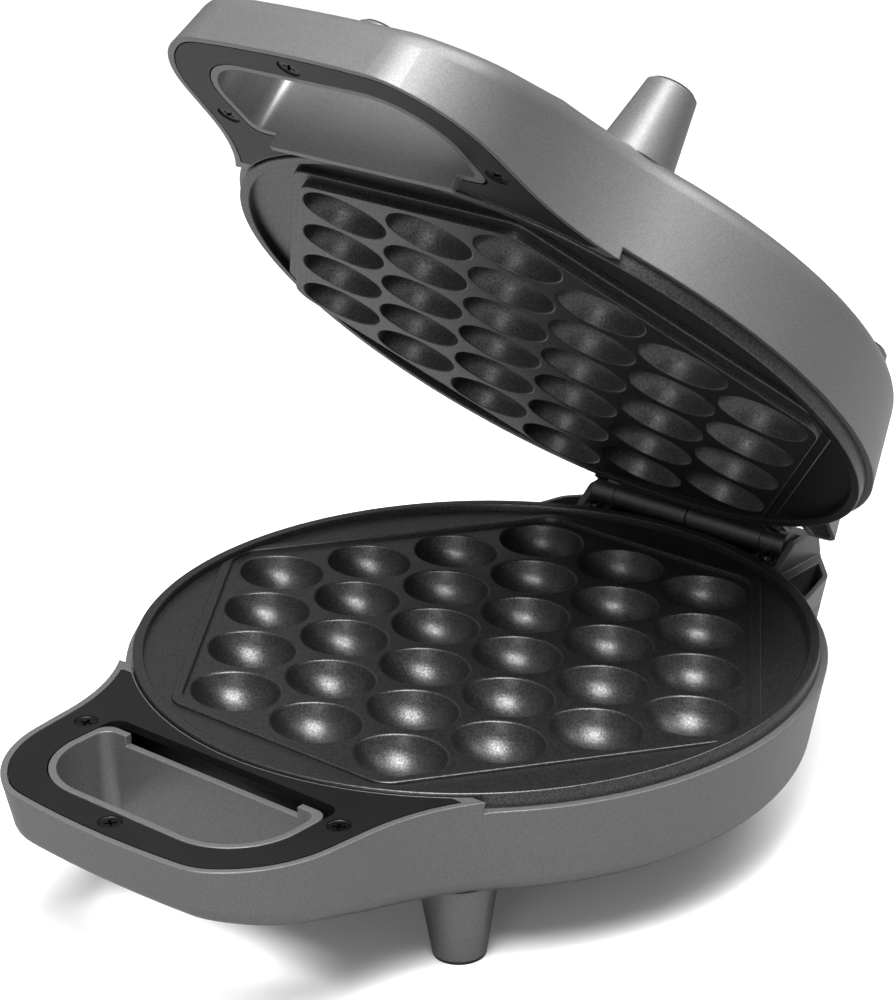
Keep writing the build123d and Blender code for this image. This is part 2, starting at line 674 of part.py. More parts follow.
base_moulding = shell_half(base_lobe(), 0, BASE_OPENING_BACK, TRIM_OPENING_BACK)
with BuildPart() as lower_shell:
    add(base_moulding.part)
    # Pocket for the hinge and the wire space under it
    for top, bottom in ((BODY_RIM - 1, POCKET_FLOOR), (POCKET_FLOOR + WALL, REAR_FLOOR + 2 * WALL)):
        with BuildSketch(Plane.XY.offset(top)):
            with Locations((0, -LOBE_REAR + WALL)):
                Rectangle(2 * (CHEEK_X - CHEEK_T), LOBE_REAR, align=(Align.CENTER, Align.MIN))
            Circle(SHELL_R - 0.6, mode=Mode.SUBTRACT)
        extrude(amount=bottom - top, mode=Mode.SUBTRACT)
    # Cheeks beside the hinge, cut away towards the plate
    for start in (-CHEEK_X, CHEEK_X - CHEEK_T):
        with BuildSketch(Plane.YZ.offset(start)):
            with BuildLine():
                Polyline(
                    (-88, REAR_FLOOR),
                    (-88, 6),
                    (-90, 4.3),
                    (-98.6, -BLOCK_TOP),
                    (-BLOCK_TOP_REAR, -BLOCK_TOP),
                    (-BLOCK_EDGE[0], BLOCK_EDGE[1]),
                    (-LOBE_REAR, BLOCK_FOOT),
                    (-LOBE_REAR + 1, REAR_FLOOR),
                    close=True,
                )
            cheek = make_face()
            fillet(cheek.vertices().sort_by(Axis.Y)[0:1], radius=2.5)
        extrude(amount=CHEEK_T)
    # Top and rear wall of the hinge block
    with BuildSketch(Plane.YZ.offset(-CHEEK_X + CHEEK_T / 2)):
        with BuildLine():
            Polyline(
                (-104.9, -BLOCK_TOP),
                (-BLOCK_TOP_REAR, -BLOCK_TOP),
                (-BLOCK_EDGE[0], BLOCK_EDGE[1]),
                (-LOBE_REAR, BLOCK_FOOT),
                (-LOBE_REAR + 1, REAR_FLOOR),
                (-LOBE_REAR + 3, REAR_FLOOR),
                (-LOBE_REAR + 2, BLOCK_FOOT),
                (-109, 0),
                (-104.9, 0),
                close=True,
            )
        make_face()
    extrude(amount=2 * CHEEK_X - CHEEK_T)
    # Pads under the hinge leaves
    for side in (-1, 1):
        with BuildSketch(Plane.XY.offset(BARREL_R - HINGE_RISE)):
            with Locations((side * LEAF_SPOT_X, -98)):
                Rectangle(LEAF_SPOT_WIDTH, 7, align=(Align.CENTER, Align.MIN))
            Circle(PLATE_CLEAR_R, mode=Mode.SUBTRACT)
        extrude(amount=REAR_FLOOR - BARREL_R)
    with BuildSketch(Plane.XY):
        with Locations((-BASE_SCREW[0], BASE_SCREW[1]), BASE_SCREW):
            Circle(SCREW_CORE_R)
    extrude(amount=13, mode=Mode.SUBTRACT)
    # Slot behind the opening that takes the tongue of the lid, and the lowered back lip
    with BuildSketch(Plane.XY):
        with Locations((0, TRIM_OPENING_BACK)):
            Rectangle(2 * TONGUE_HALF_X + 4, BASE_OPENING_BACK - LIP - TRIM_OPENING_BACK,
                      align=(Align.CENTER, Align.MIN))
    extrude(amount=9, mode=Mode.SUBTRACT)
    with BuildSketch(Plane.XY):
        with Locations((0, TRIM_OPENING_BACK)):
            Rectangle(2 * TONGUE_HALF_X, 10, align=(Align.CENTER, Align.MIN))
    extrude(amount=HANDLE_RIM + BASE_LIP_DROP, mode=Mode.SUBTRACT)
    # Flat boss and hole of the cord inlet
    with BuildSketch(Plane((0, -LOBE_REAR + 6, CORD_DEPTH), z_dir=(0, -1, 0))):
        Circle(BUSHING_R + 1.5)
    extrude(amount=7)
    with BuildSketch(Plane((0, -LOBE_REAR + 12, CORD_DEPTH), z_dir=(0, -1, 0))):
        Circle(BUSHING_NECK_R)
    extrude(amount=20, mode=Mode.SUBTRACT)
    # Pad for the terminal block
    with BuildSketch(Plane.XY.offset(BLOCK_SEAT)):
        with Locations((0, BLOCK_Y)):
            Rectangle(28, 18)
    extrude(amount=2.5)
finish(lower_shell, "lower_shell", BASE)

lid_moulding = shell_half(lid_lobe(), EAR_INNER_X, LID_OPENING_BACK, LID_OPENING_BACK - LIP)
with BuildPart() as upper_shell:
    add(lid_moulding.part)
    # Tongue on the back lip of the finger opening
    with BuildSketch(Plane.XY.offset(HANDLE_RIM - TONGUE_RISE)):
        with Locations((0, LID_OPENING_BACK)):
            Rectangle(2 * TONGUE_HALF_X, LIP, align=(Align.CENTER, Align.MAX))
    extrude(amount=TONGUE_RISE + 3)
    # Pads over the hinge leaves
    for side in (-1, 1):
        with BuildSketch(Plane.XY.offset(BARREL_R + HINGE_RISE)):
            with Locations((side * LEAF_SPOT_X, -96.2)):
                Rectangle(LEAF_SPOT_WIDTH, 6, align=(Align.CENTER, Align.MIN))
            Circle(PLATE_CLEAR_R, mode=Mode.SUBTRACT)
        extrude(amount=REAR_FLOOR - BARREL_R)
    with BuildSketch(Plane.XY):
        with Locations((-LID_SCREW[0], LID_SCREW[1]), LID_SCREW):
            Circle(SCREW_CORE_R)
    extrude(amount=13, mode=Mode.SUBTRACT)
finish(upper_shell, "upper_shell", LID)

halves = {
    "lower": (BASE, LOWER_RIM, LOWER_CUPS),
    "upper": (LID, UPPER_RIM, UPPER_CUPS),
}
for half, (place, rim, cups) in halves.items():
    finish(plate_half(rim, cups), f"{half}_plate", place)
    finish(heating_element(), f"{half}_heating_element", place)
    finish(heat_shield(), f"{half}_heat_shield", place)
    finish(plate_screws(), f"{half}_plate_screws", place)
    finish(foot_pads(), f"{half}_foot_pads", place)
    finish(handle_trim(), f"{half}_handle_trim", place)
    finish(trim_screws(), f"{half}_trim_screws", place)

for name, side in (("left", -1), ("right", 1)):
    finish(base_hinge(side), f"base_hinge_{name}", BASE)
    finish(lid_hinge(-side), f"lid_hinge_{name}", LID)
finish(hinge_screws(BASE_SCREW, BARREL_R - HINGE_RISE - LEAF_T), "base_hinge_screws", BASE)
finish(hinge_screws(LID_SCREW, BARREL_R + HINGE_RISE - LEAF_T), "lid_hinge_screws", LID)

with BuildPart() as hinge_pin:
    with BuildSketch(Plane.YZ.offset(-PIN_HALF)):
        with Locations((-HINGE_BACK, -HINGE_RISE)):
            Circle(PIN_R)
    extrude(amount=2 * PIN_HALF)
finish(hinge_pin, "hinge_pin", BASE)

with BuildPart() as cord_bushing:
    with BuildSketch(Plane((0, -LOBE_REAR - 1, CORD_DEPTH), z_dir=(0, -1, 0))):
        Circle(BUSHING_R)
    extrude(amount=2)
    with BuildSketch(Plane((0, -LOBE_REAR - 1, CORD_DEPTH), z_dir=(0, -1, 0))):
        Circle(BUSHING_NECK_R)
    extrude(amount=-8)
    with BuildSketch(Plane((0, -LOBE_REAR - 1, CORD_DEPTH), z_dir=(0, -1, 0))):
        Circle(CORD_R)
    extrude(amount=10, both=True, mode=Mode.SUBTRACT)
finish(cord_bushing, "cord_bushing", BASE)

with BuildPart() as thermostat:
    with BuildSketch(Plane.XY.offset(PLATE_BACK)):
        with Locations((0, THERMOSTAT_Y)):
            Circle(8)
    extrude(amount=4)
    with BuildSketch(Plane.XY.offset(PLATE_BACK + 4)):
        with Locations((0, THERMOSTAT_Y)):
            Circle(6)
    extrude(amount=3)
finish(thermostat, "thermostat", BASE)

with BuildPart() as thermal_fuse:
    with BuildSketch(Plane.YZ.offset(-6.5)):
        with Locations((0, PLATE_BACK + 2)):
            Circle(2)
    extrude(amount=13)
finish(thermal_fuse, "thermal_fuse", BASE)

with BuildPart() as terminal_block:
    with BuildSketch(Plane.XY.offset(BLOCK_SEAT)):
        with Locations((0, BLOCK_Y)):
            Rectangle(24, 14)
    extrude(amount=-7)
    with BuildSketch(Plane.XY.offset(BLOCK_SEAT - 7)):
        with Locations((-7, BLOCK_Y), (0, BLOCK_Y), (7, BLOCK_Y)):
            Circle(1.8)
    extrude(amount=4, mode=Mode.SUBTRACT)
finish(terminal_block, "terminal_block", BASE)
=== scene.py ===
"""Looks of the bubble waffle maker: finishes, cup plates, screws, pads, stage and camera."""
import json
import math

import bmesh
import bpy
from mathutils import Matrix, Vector


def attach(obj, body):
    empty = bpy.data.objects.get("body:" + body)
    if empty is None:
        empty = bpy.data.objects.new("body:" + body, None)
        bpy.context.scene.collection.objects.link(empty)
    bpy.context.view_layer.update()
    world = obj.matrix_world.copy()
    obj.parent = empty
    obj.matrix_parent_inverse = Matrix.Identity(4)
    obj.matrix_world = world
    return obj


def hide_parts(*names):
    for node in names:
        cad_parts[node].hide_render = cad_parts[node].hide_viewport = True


bl_info = {
    "name": "Bubble waffle maker",
    "version": (1, 0, 0),
    "blender": (4, 5, 0),
    "location": "View3D > Sidebar > Waffle",
    "description": "Finishes, cup plates and screws of a bubble waffle maker",
    "category": "Object",
}

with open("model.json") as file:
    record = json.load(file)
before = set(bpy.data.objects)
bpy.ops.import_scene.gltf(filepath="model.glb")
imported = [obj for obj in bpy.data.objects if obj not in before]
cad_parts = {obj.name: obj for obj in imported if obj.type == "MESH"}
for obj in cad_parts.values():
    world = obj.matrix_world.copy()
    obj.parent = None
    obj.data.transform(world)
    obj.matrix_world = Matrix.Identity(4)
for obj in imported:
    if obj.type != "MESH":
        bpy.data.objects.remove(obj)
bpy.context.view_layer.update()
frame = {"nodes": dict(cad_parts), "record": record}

# The lid stands open by this angle about the hinge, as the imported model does
LID_OPEN = math.radians(46)
HINGE = Vector(frame["record"]["behaviour"]["joints"][0]["pos_m"])

# Centre of the round plates on the parting plane of the closed halves, in front of the hinge
HINGE_TO_CENTRE = 0.100
PLATE_CENTRE = Vector((0, HINGE.y - HINGE_TO_CENTRE, 0.0542))
MM = 0.001

# Edges that turn by more than SHARP stay sharp, and faces this square to the axis are shaded flat
SHARP = math.radians(50)
FLAT = 0.9999

# Distances, in metres, within which points are taken as one
WELD = 0.000001
SEAM_WELD = 0.000005
FIELD_WELD = 0.00002

# Cup plates, in millimetres from the parting plane and the plate's centre
PITCH_X = 30.0
PITCH_Y = 21.62
CUP_HALF_X = 13.6
CUP_HALF_Y = 11.1
CUP_DEPTH = 9.5
ROWS_OUT = 5
GRID_COLUMNS = 11
GRID_ROWS = 7
HEX_TIP_X = 93.9
HEX_SIDE_X = 37.0
HEX_Y = 78.6
HEX_CORNER_R = 8.0
LAND_WIDTH = 3.0
RIM_INNER_R = 92.3
PLATE_R = 95.3
POCKET = 3.3
SKIRT = 5.2
EDGE_R = 0.35
ROUND_STEPS = 480

# Radii between which a cup's mouth and a hexagon's side are looked for
CUP_MOUTH_RANGE = (6.0, 14.4)
HEX_RANGE = (40.0, 110.0)

# The rim cuts the hexagon off at this radius, which grows by this share of the hexagon's growth
HEX_LIMIT_R = 91.5
LIMIT_GROWTH = 0.05

# Share of an edge's radius that its middle stands back from each of its two faces
BACK_SHARE = 0.29

# Seats of the screws and pads, in millimetres in a half's own frame
TRIM_SCREWS = ((-45.6, 105.0), (0.0, 139.3), (45.6, 105.0))
TRIM_SCREW_LEVEL = 2.2
SCREW_R = 1.35
HINGE_SCREW_X = 32
HINGE_CROWN_DEPTH = 1.3
FEET = [(x, y) for x in (-49.7, 49.7) for y in (-66.0, 66.0)]
FOOT_END = 54.2
PAD_PLUG = 4.0
PAD_ROOT = 1.2
PAD_FLANGE = 1.0

# Outer rear walls, in millimetres at the depth where their draft starts, for x above zero
BASE_REAR = ((58.0, -72.0), (50.3, -100.0), (38.2, -112.8), (0.0, -113.8))
LID_REAR = ((58.0, -72.0), (50.3, -101.0), (0.0, -101.0))
REAR_CORNER_R = 7.5
CORNER_STEPS = 5
WALL_START = 1.8
WALL_DRAFT = math.tan(math.radians(11.5))
UNDER_SKIN = 0.05

# Strips behind these walls: where they run, and their top, bottom and thickness
EAR_START_Y = -82
BASE_EAR_END_X = 41
LID_EAR_END_X = 40.5
EAR_STRIP = (12.0, 14.6, 0.8)
BACK_STRIP_X = (5, 36.8)
BACK_STRIP = (13.5, 19.0, 2.0)


def half_matrix(half):
    """Place of a half's own frame: x across, y towards the handle, z out of the half."""
    if half == "lower":
        return Matrix.Translation(PLATE_CENTRE) @ Matrix.Rotation(math.pi, 4, "X")
    closed = Matrix.Translation(PLATE_CENTRE) @ Matrix.Rotation(math.pi, 4, "Z")
    turn = Matrix.Rotation(-LID_OPEN, 4, "X")
    return Matrix.Translation(HINGE) @ turn @ Matrix.Translation(-HINGE) @ closed


class Finish:
    """A node material, built up from the surface outwards."""

    def __init__(self, name):
        self.material = bpy.data.materials.new(name)
        self.material.use_nodes = True
        self.tree = self.material.node_tree
        self.shader = self.tree.nodes["Principled BSDF"]
        self.place = self.tree.nodes.new("ShaderNodeTexCoord").outputs["Object"]

    def node(self, kind, **values):
        """A node with these input values; names with a leading _ are its properties."""
        made = self.tree.nodes.new(kind)
        for name, value in values.items():
            if name.startswith("_"):
                setattr(made, name[1:], value)
            elif hasattr(value, "is_linked"):
                self.tree.links.new(value, made.inputs[name.replace("_", " ")])
            else:
                made.inputs[name.replace("_", " ")].default_value = value
        return made

    def grain(self, size, detail=2.0, stretch=(1, 1, 1)):
        """Fine noise with spots of this size, in metres."""
        placed = self.node("ShaderNodeMapping", Vector=self.place, Scale=stretch)
        vector = placed.outputs["Vector"]
        return self.node("ShaderNodeTexNoise", Vector=vector, Scale=1 / size, Detail=detail).outputs["Fac"]

    def ramp(self, value, low, high, start=0.35, end=0.65):
        """Colours from low to high as value goes from start to end."""
        ramp = self.node("ShaderNodeValToRGB", Fac=value)
        for stop, place, shade in zip(ramp.color_ramp.elements, (start, end), (low, high)):
            stop.position = place
            stop.color = (*shade, 1)
        return ramp.outputs["Color"]

    def level(self, value, low, high, start=0.35, end=0.65):
        """Plain numbers from low to high as value goes from start to end."""
        made = self.node("ShaderNodeMapRange", Value=value)
        for name, number in (("From Min", start), ("From Max", end), ("To Min", low), ("To Max", high)):
            made.inputs[name].default_value = number
        return made.outputs["Result"]

    def relief(self, height, depth, strength, under=None):
        """Bumps of this depth, in metres, on top of the normal under them, if one is given."""
        bump = self.node("ShaderNodeBump", Height=height, Distance=depth, Strength=strength)
        if under is not None:
            self.tree.links.new(under, bump.inputs["Normal"])
        self.tree.links.new(bump.outputs["Normal"], self.shader.inputs["Normal"])

    def rounded(self, radius):
        """Normal of the surface with its sharp edges softened by this radius, in metres."""
        return self.node("ShaderNodeBevel", Radius=radius, _samples=6).outputs["Normal"]

    def edge_wear_and_highlight(self, radius, low, high):
        """From low on open faces to high along sharp edges, where true and softened normals differ: a mask
        for edge wear and a painted highlight along the edges.
        """
        edge_cosine = 0.85
        face_cosine = 0.99
        flat = self.node("ShaderNodeNewGeometry").outputs["Normal"]
        turned = self.node("ShaderNodeVectorMath", _operation="DOT_PRODUCT")
        self.tree.links.new(flat, turned.inputs[0])
        self.tree.links.new(self.rounded(radius), turned.inputs[1])
        return self.level(turned.outputs["Value"], high, low, edge_cosine, face_cosine)

    def blend(self, share, low, high):
        """Colour that goes from low to high by share, an output."""
        mix = self.node("ShaderNodeMix", _data_type="RGBA", _clamp_factor=True)
        sockets = {"Factor": share, "A": low, "B": high}
        for socket in mix.inputs:
            if socket.name in sockets and socket.type in ("VALUE", "RGBA") and socket.enabled:
                value = sockets[socket.name]
                if hasattr(value, "is_linked"):
                    self.tree.links.new(value, socket)
                else:
                    socket.default_value = (*value, 1)
        return next(out for out in mix.outputs if out.type == "RGBA")

    def surface(self, **sockets):
        """Numbers or outputs for the shader's own sockets."""
        for name, value in sockets.items():
            socket = self.shader.inputs[name.replace("_", " ")]
            if hasattr(value, "is_linked"):
                self.tree.links.new(value, socket)
            else:
                socket.default_value = value
        return self


def grey(value, tint=0.0):
    """A grey, with its blue raised by this share."""
    return (value, value, value * (1 + tint))


def shell_paint(name, shade):
    """Grey plastic with a fine metallic fleck and a satin sheen, paler along its edges from wear and a
    painted highlight.
    """
    paint = Finish(name)
    fleck = paint.grain(0.00042, detail=4)
    cloud = paint.grain(0.03, detail=2)
    colour = paint.ramp(fleck, grey(shade * 0.86), grey(shade * 1.14), 0.36, 0.64)
    # Edges turned paler: edge wear and a painted highlight along the shell's edges
    colour = paint.blend(paint.edge_wear_and_highlight(0.0006, 0, 0.35), colour, grey(min(1, shade * 2.2)))
    rough = paint.level(cloud, 0.36, 0.40)
    paint.relief(fleck, 0.00004, 0.2, under=paint.rounded(0.0006))
    return paint.surface(Base_Color=colour, Roughness=rough, Metallic=0.5).material


def nonstick(name, shade):
    """Black non-stick coating: a fine orange peel that scatters the light in grains."""
    coat = Finish(name)
    peel = coat.grain(0.0005, detail=4)
    colour = coat.ramp(peel, grey(shade * 0.65), grey(shade * 1.4), 0.36, 0.64)
    # Edges and cup lips turned paler: a painted highlight along them, with edge wear
    colour = coat.blend(coat.edge_wear_and_highlight(0.0005, 0, 0.5), colour, grey(min(1, shade * 3)))
    rough = coat.level(coat.grain(0.0009, detail=2), 0.33, 0.41)
    coat.relief(peel, 0.00005, 0.6)
    return coat.surface(Base_Color=colour, Roughness=rough, Metallic=0.85).material


def moulded_black(name, shade, rough):
    """Black moulded plastic with a fine spark-eroded texture."""
    plastic = Finish(name)
    texture = plastic.grain(0.0003, detail=2)
    colour = plastic.ramp(plastic.grain(0.02), grey(shade * 0.9), grey(shade * 1.1))
    plastic.relief(texture, 0.00003, 0.4)
    uneven = plastic.level(texture, rough - 0.05, rough + 0.05)
    return plastic.surface(Base_Color=colour, Roughness=uneven, Specular_IOR_Level=0.2).material


def metal(name, shade, rough, stretch=(1, 1, 1), tint=0.0):
    """Bare or blackened metal with drawing marks along one way."""
    steel = Finish(name)
    marks = steel.grain(0.0006, detail=3, stretch=stretch)
    colour = steel.ramp(marks, grey(shade * 0.85, tint), grey(shade * 1.15, tint))
    uneven = steel.level(marks, rough - 0.06, rough + 0.08)
    steel.relief(marks, 0.00001, 0.4)
    return steel.surface(Base_Color=colour, Roughness=uneven, Metallic=1.0).material


def rubber(name, shade):
    """Matte rubber with a dusty bloom."""
    soft = Finish(name)
    bloom = soft.grain(0.002, detail=3)
    colour = soft.ramp(bloom, grey(shade * 0.8), grey(shade * 1.3))
    soft.relief(soft.grain(0.0004), 0.00005, 0.5)
    return soft.surface(Base_Color=colour, Roughness=soft.level(bloom, 0.7, 0.85)).material


def cup_depth(x, y):
    """Depth of a cup under its mouth: an arc turned about the long axis of the oval."""
    rise = (CUP_HALF_Y ** 2 - CUP_DEPTH ** 2) / (2 * CUP_DEPTH)
    arc_r = (CUP_HALF_X ** 2 + CUP_DEPTH ** 2) / (2 * CUP_DEPTH)
    across = math.sqrt(max(arc_r ** 2 - x * x, 0)) - (arc_r - CUP_DEPTH - rise)
    return math.sqrt(max(across ** 2 - y * y, 0)) - rise


def bisect(inside, low, high, halvings=40):
    """Largest value between low and high that is still inside."""
    for _ in range(halvings):
        middle = (low + high) / 2
        low, high = (middle, high) if inside(middle) else (low, middle)
    return low


def cup_rings(lip_r, segments=64, lip_steps=4, bowl_steps=10):
    """Rings of points of one cup, from the rounded lip on the flat down to the last ring by its pole."""
    nudge = 0.05
    pole_gap = 0.6
    rings = [[] for _ in range(lip_steps + bowl_steps + 1)]
    for step in range(segments):
        turn = 2 * math.pi * step / segments
        along = (math.cos(turn), math.sin(turn))
        mouth = bisect(lambda r: cup_depth(r * along[0], r * along[1]) > 0, *CUP_MOUTH_RANGE)
        slope = math.atan(cup_depth((mouth - nudge) * along[0], (mouth - nudge) * along[1]) / nudge)
        outer = mouth + lip_r * math.tan(slope / 2)
        for ring in range(lip_steps + 1):
            lean = slope * ring / lip_steps
            reach = outer - lip_r * math.sin(lean)
            rings[ring].append((reach * along[0], reach * along[1], lip_r * (1 - math.cos(lean))))
        start = outer - lip_r * math.sin(slope)
        for ring in range(1, bowl_steps + 1):
            reach = start * (1 - ring / (bowl_steps + pole_gap))
            x, y = reach * along[0], reach * along[1]
            rings[lip_steps + ring].append((x, y, cup_depth(x, y)))
    return rings


def hexagon_loop(grow):
    """Points of the cups' hexagon, grown by this much, with round corners and cut by the round rim."""
    corners = [(HEX_TIP_X, 0), (HEX_SIDE_X, HEX_Y), (-HEX_SIDE_X, HEX_Y)]
    corners += [(-x, -y) for x, y in corners]
    sides = []
    for (ax, ay), (bx, by) in zip(corners, corners[1:] + corners[:1]):
        length = math.hypot(bx - ax, by - ay)
        outward = ((by - ay) / length, (ax - bx) / length)
        sides.append((outward, outward[0] * ax + outward[1] * ay + grow - HEX_CORNER_R))
    inner = []
    for (one, reach_one), (two, reach_two) in zip(sides, sides[1:] + sides[:1]):
        cross = one[0] * two[1] - one[1] * two[0]
        x = (reach_one * two[1] - reach_two * one[1]) / cross
        y = (reach_two * one[0] - reach_one * two[0]) / cross
        inner.append(Vector((x, y)))

    def within(point):
        if all(point.x * way[0] + point.y * way[1] <= reach for way, reach in sides):
            return True
        for start, end in zip(inner, inner[1:] + inner[:1]):
            share = max(0, min(1, (point - start).dot(end - start) / (end - start).length_squared))
            if (point - start.lerp(end, share)).length <= HEX_CORNER_R:
                return True
        return False

    loop = []
    for step in range(ROUND_STEPS):
        turn = 2 * math.pi * step / ROUND_STEPS
        way = Vector((math.cos(turn), math.sin(turn)))
        reach = min(bisect(lambda r: within(way * r), *HEX_RANGE), HEX_LIMIT_R + LIMIT_GROWTH * grow)
        loop.append((way.x * reach, way.y * reach))
    return loop


def circle_loop(radius):
    """Points of a circle round the plate's centre, as many as a hexagon loop has."""
    turns = [2 * math.pi * step / ROUND_STEPS for step in range(ROUND_STEPS)]
    return [(radius * math.cos(turn), radius * math.sin(turn)) for turn in turns]


def round_edge(make, at, level, radius, outward):
    """Loops of a rounded edge between a face at this level and a wall, from the inside to the outside."""
    lean = radius if outward else -radius
    middle = (make(at - BACK_SHARE * lean), level + BACK_SHARE * radius)
    loops = [(make(at - lean), level), middle, (make(at), level + radius)]
    return loops if outward else loops[::-1]


def plate_loops(field, land, step_at, step_r, rim):
    """Loops of the plate's face with their depths, from the cup field's edge to the rim's outside."""
    if land < field:
        step = [(hexagon_loop(step_at), field)]
        step += round_edge(hexagon_loop, step_at, land, step_r, False)
    else:
        step = round_edge(hexagon_loop, step_at, field, step_r, True)
        step += [(hexagon_loop(step_at), land)]
    border = round_edge(hexagon_loop, LAND_WIDTH, land, EDGE_R, True)
    pocket = [(hexagon_loop(LAND_WIDTH), POCKET), (circle_loop(RIM_INNER_R), POCKET)]
    rim_inside = round_edge(circle_loop, RIM_INNER_R, rim, EDGE_R, False)
    rim_outside = round_edge(circle_loop, PLATE_R, rim, EDGE_R, True)
    return step + border + pocket + rim_inside + rim_outside


def plate_back(name, half):
    """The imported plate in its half's frame, without its face, open at the edge of its skirt."""
    node = frame["nodes"][name]
    back = bmesh.new()
    back.from_mesh(node.data)
    back.transform(half_matrix(half).inverted() @ node.matrix_world)
    bmesh.ops.remove_doubles(back, verts=back.verts, dist=WELD)
    near_level = 0.00001
    near_wall = 0.0001

    def at_skirt(vert):
        level = abs(vert.co.z - SKIRT * MM) < near_level
        return level and abs(vert.co.xy.length - PLATE_R * MM) < near_wall

    face_side = set()
    waiting = [min(back.faces, key=lambda face: face.calc_center_median().z)]
    while waiting:
        face = waiting.pop()
        if face in face_side:
            continue
        face_side.add(face)
        for edge in face.edges:
            if not all(at_skirt(vert) for vert in edge.verts):
                waiting += [near for near in edge.link_faces if near not in face_side]
    bmesh.ops.delete(back, geom=list(face_side), context="FACES")
    mesh = bpy.data.meshes.new(f"{name}_back")
    back.to_mesh(mesh)
    back.free()
    return mesh


class Tree:
    """A geometry node tree with named inputs."""

    def __init__(self, name, **inputs):
        self.tree = bpy.data.node_groups.new(name, "GeometryNodeTree")
        self.tree.interface.new_socket("Geometry", in_out="OUTPUT", socket_type="NodeSocketGeometry")
        for label, kind in inputs.items():
            shown = label.replace("_", " ")
            self.tree.interface.new_socket(shown, in_out="INPUT", socket_type=f"NodeSocket{kind}")
        self.given = self.tree.nodes.new("NodeGroupInput").outputs
        self.end = self.tree.nodes.new("NodeGroupOutput")

    def add(self, kind, *first, **named):
        """A node with its first sockets and its named ones linked or set; a leading _ names a property."""
        made = self.tree.nodes.new(kind)
        for name in [name for name in named if name.startswith("_")]:
            setattr(made, name[1:], named.pop(name))
        sockets = list(zip(made.inputs, first))
        sockets += [(made.inputs[name.replace("_", " ")], value) for name, value in named.items()]
        for socket, value in sockets:
            for item in value if isinstance(value, list) else [value]:
                if hasattr(item, "is_linked"):
                    self.tree.links.new(item, socket)
                else:
                    socket.default_value = item
        return made.outputs[0]

    def math(self, operation, *values):
        """The result of this operation on numbers or outputs."""
        return self.add("ShaderNodeMath", *values, _operation=operation)

    def turned(self, stations):
        """Closed round shape through stations of (radius, height), all numbers or outputs, along +Z."""
        sides = self.given["Sides"]
        parts = []

        def raised(shape, height):
            offset = self.add("ShaderNodeCombineXYZ", 0.0, 0.0, height)
            return self.add("GeometryNodeTransform", Geometry=shape, Translation=offset)

        for radius, height in (stations[0], stations[-1]):
            cap = self.add("GeometryNodeMeshCircle", Vertices=sides, Radius=radius, _fill_type="NGON")
            parts.append(raised(cap, height))
        for (low, start), (high, end) in zip(stations, stations[1:]):
            ring = self.add(
                "GeometryNodeMeshCone", Vertices=sides, Radius_Bottom=low, Radius_Top=high,
                Depth=self.math("SUBTRACT", end, start), _fill_type="NONE",
            )
            parts.append(raised(ring, start))
        skin = self.add("GeometryNodeJoinGeometry", parts)
        return self.add("GeometryNodeMergeByDistance", Geometry=skin, Distance=self.given["Weld"])

    def spread(self, shape, **more):
        """The shape on every seat, coated, as the tree's result."""
        seats = self.tree.nodes.new("GeometryNodeObjectInfo")
        self.tree.links.new(self.given["Seats"], seats.inputs["Object"])
        points = seats.outputs["Geometry"]
        spread = self.add("GeometryNodeInstanceOnPoints", Points=points, Instance=shape, **more)
        real = self.add("GeometryNodeRealizeInstances", spread)
        coated = self.add("GeometryNodeSetMaterial", Geometry=real, Material=self.given["Coating"])
        self.tree.links.new(coated, self.end.inputs[0])
        return self

    def run(self, carrier, **values):
        """The tree's result on a carrier object, as a plain mesh."""
        modifier = carrier.modifiers.new(self.tree.name, "NODES")
        modifier.node_group = self.tree
        for item in self.tree.interface.items_tree:
            if item.in_out == "INPUT":
                modifier[item.identifier] = values[item.name.replace(" ", "_")]
        bpy.context.view_layer.update()
        graph = bpy.context.evaluated_depsgraph_get()
        mesh = bpy.data.meshes.new_from_object(carrier.evaluated_get(graph))
        carrier.modifiers.remove(modifier)
        return mesh


